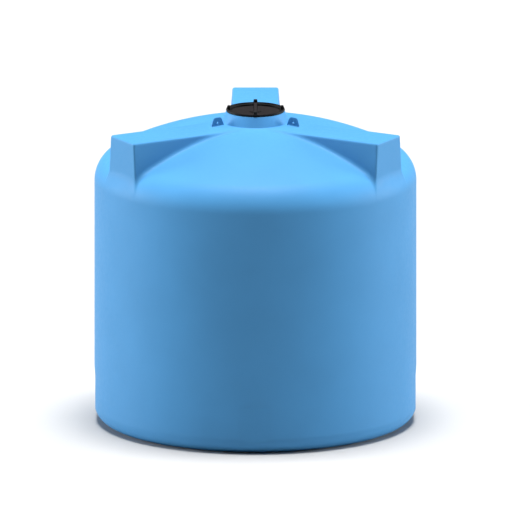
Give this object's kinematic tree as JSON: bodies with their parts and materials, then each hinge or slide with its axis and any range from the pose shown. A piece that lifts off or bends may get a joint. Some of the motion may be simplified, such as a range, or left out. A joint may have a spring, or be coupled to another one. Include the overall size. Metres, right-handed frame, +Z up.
{
  "type": "livestock water storage tank",
  "caption": "Closed round blue polyethylene water tank with a domed top, box-shaped shoulder lugs, lifting eyes, a screw-down black manhole lid and rear water fittings.",
  "frame": {"origin": "centre of the flat base, on the ground", "axes": "+Z up along the tank axis, -Y the front, +Y the rear with the outlet, +X to the right seen from the front"},
  "size_m": [2.43, 2.582, 2.43],
  "materials": {
    "tank_plastic": "satin rotomoulded polyethylene, light blue, faint orange-peel grain",
    "lid_plastic": "black moulded polypropylene, satin with a fine grain",
    "black_fitting": "black glass-filled polypropylene, fine moulded texture",
    "seal_rubber": "black EPDM rubber, dull",
    "steel": "stainless steel, brushed",
    "brass": "cast and turned brass, slightly dulled",
    "float_plastic": "orange moulded float, lightly glossy",
    "seat_plastic": "white PTFE, waxy",
    "ball_chrome": "chrome-plated, polished",
    "grip_vinyl": "blue dipped vinyl"
  },
  "bodies": {
    "tank": {"tank_floor": "tank_plastic", "tank_edge": "tank_plastic", "tank_foot": "tank_plastic", "tank_wall": "tank_plastic", "tank_dome": "tank_plastic", "tank_collar": "tank_plastic", "rear_lifting_eye": "tank_plastic", "left_lifting_eye": "tank_plastic", "right_lifting_eye": "tank_plastic", "inlet_fitting": "black_fitting", "inlet_seal": "seal_rubber", "inlet_locknut": "black_fitting", "float_valve_body": "brass", "float_pivot_pin": "steel", "overflow_fitting": "black_fitting", "overflow_seal": "seal_rubber", "overflow_locknut": "black_fitting", "overflow_screen": "steel", "outlet_fitting": "black_fitting", "outlet_seal": "seal_rubber", "outlet_locknut": "black_fitting", "valve_body": "brass", "valve_tailpiece": "brass", "valve_seats": "seat_plastic", "stem_packing": "seat_plastic", "gland_nut": "brass"},
    "gasket": {"lid_gasket": "seal_rubber"},
    "lid": {"lid": "lid_plastic", "lid_skirt": "lid_plastic", "vent_body": "black_fitting", "vent_nut": "black_fitting", "vent_screen": "steel", "vent_cap": "lid_plastic"},
    "float_arm": {"float_arm": "brass", "float_ball": "float_plastic", "float_nut": "brass"},
    "plunger": {"plunger": "brass", "plunger_washer": "seal_rubber"},
    "valve_lever": {"valve_ball": "ball_chrome", "valve_stem": "brass", "valve_lever": "steel", "lever_grip": "grip_vinyl", "lever_nut": "steel"}
  },
  "joints": [
    {"name": "lid_lift", "type": "slide", "parent": "tank", "child": "gasket", "axis": [0, 0, 1], "range_m": [0, 0.3]},
    {"name": "lid_turn", "type": "hinge", "parent": "gasket", "child": "lid", "pos_m": [0, 0, 2.388], "axis": [0, 0, -1], "range_deg": [0, 45]},
    {"name": "float_swing", "type": "hinge", "parent": "tank", "child": "float_arm", "pos_m": [-0.08, 1.072, 2.183], "axis": [-1, 0, 0], "range_deg": [0, 40]},
    {"name": "plunger_slide", "type": "slide", "parent": "tank", "child": "plunger", "axis": [0, 1, 0], "range_m": [0, 0.0152]},
    {"name": "valve_turn", "type": "hinge", "parent": "tank", "child": "valve_lever", "pos_m": [0, 1.293, 0.19], "axis": [0, 0, 1], "range_deg": [0, 90]}
  ],
  "couplings": [
    {"joint": "plunger_slide", "follows": "float_swing", "m_per_rad": 0.021556}
  ]
}
